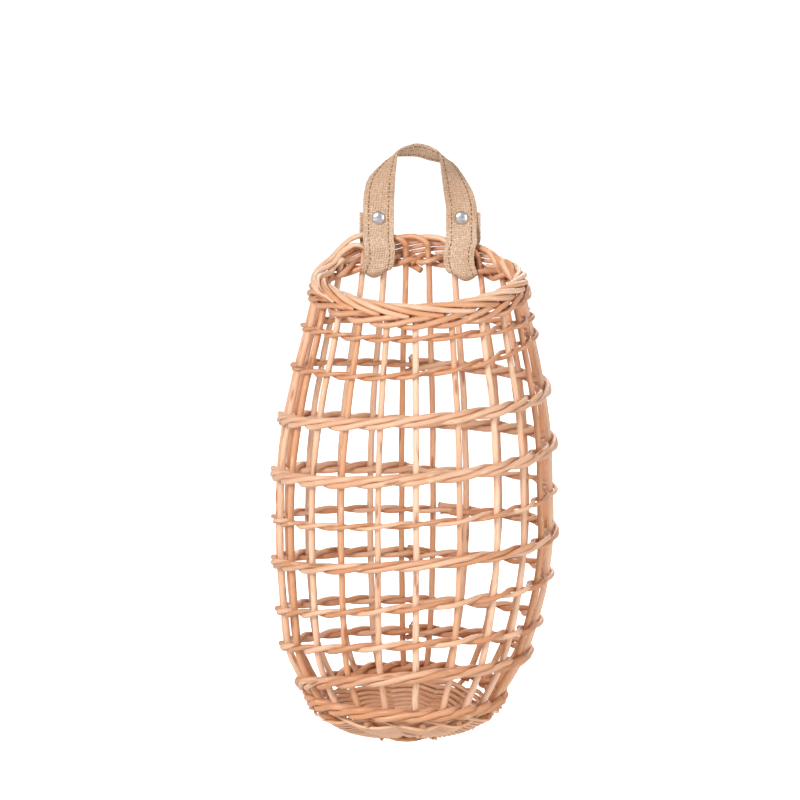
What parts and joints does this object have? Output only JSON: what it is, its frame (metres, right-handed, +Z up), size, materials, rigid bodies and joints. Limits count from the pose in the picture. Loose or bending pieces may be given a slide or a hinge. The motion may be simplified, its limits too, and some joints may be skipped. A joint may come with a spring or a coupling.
{
  "type": "onion basket",
  "caption": "Tall openwork willow basket for hanging on a wall, with a flattened back, twined rows, a rolled rim, a domed base and a riveted webbing strap.",
  "frame": {"origin": "the seat under the top of the strap, where a hook carries the basket", "axes": "+X to the right seen from the front, +Y towards the wall behind, +Z up"},
  "size_m": [0.2485, 0.1852, 0.5195],
  "materials": {
    "stake_willow": "peeled round rod, faint sheen",
    "weaver_willow": "peeled round rod, faint sheen",
    "foot_willow": "peeled round rod, faint sheen",
    "base_stick_willow": "peeled stick, matt",
    "base_weaver_willow": "fine peeled rod, matt",
    "webbing": "coarse basket-weave webbing, matt",
    "rivet_metal": "bright, smooth"
  },
  "bodies": {
    "basket": {"stake_01": "stake_willow", "stake_02": "stake_willow", "stake_03": "stake_willow", "stake_04": "stake_willow", "stake_05": "stake_willow", "stake_06": "stake_willow", "stake_07": "stake_willow", "stake_08": "stake_willow", "stake_09": "stake_willow", "stake_10": "stake_willow", "stake_11": "stake_willow", "stake_12": "stake_willow", "stake_13": "stake_willow", "stake_14": "stake_willow", "stake_15": "stake_willow", "stake_16": "stake_willow", "stake_17": "stake_willow", "stake_18": "stake_willow", "stake_19": "stake_willow", "stake_20": "stake_willow", "stake_21": "stake_willow", "stake_22": "stake_willow", "row_1_wale_a": "weaver_willow", "row_1_wale_b": "weaver_willow", "row_1_wale_c": "weaver_willow", "rows_2_3_pair_a": "weaver_willow", "rows_2_3_pair_b": "weaver_willow", "row_4_wale_a": "weaver_willow", "row_4_wale_b": "weaver_willow", "row_4_wale_c": "weaver_willow", "row_5_pair_a": "weaver_willow", "row_5_pair_b": "weaver_willow", "rows_6_7_wale_a": "weaver_willow", "rows_6_7_wale_b": "weaver_willow", "rows_6_7_wale_c": "weaver_willow", "rows_8_9_pair_a": "weaver_willow", "rows_8_9_pair_b": "weaver_willow", "foot_wale_a": "foot_willow", "foot_wale_b": "foot_willow", "foot_wale_c": "foot_willow", "rim_wale_a": "weaver_willow", "rim_wale_b": "weaver_willow", "rim_wale_c": "weaver_willow", "base_stick_1": "base_stick_willow", "base_stick_2": "base_stick_willow", "base_stick_3": "base_stick_willow", "base_stick_4": "base_stick_willow", "base_stick_5": "base_stick_willow", "base_stick_6": "base_stick_willow", "base_weaver_a": "base_weaver_willow", "base_weaver_b": "base_weaver_willow", "strap_loop_left": "webbing", "strap_loop_right": "webbing", "rivet_left": "rivet_metal", "rivet_right": "rivet_metal"},
    "strap": {"strap_arch": "webbing"}
  },
  "joints": [
    {"name": "strap_hinge", "type": "hinge", "parent": "basket", "child": "strap", "pos_m": [0, 0, -0.05], "axis": [1, 0, 0], "range_deg": [-120, 120]}
  ]
}
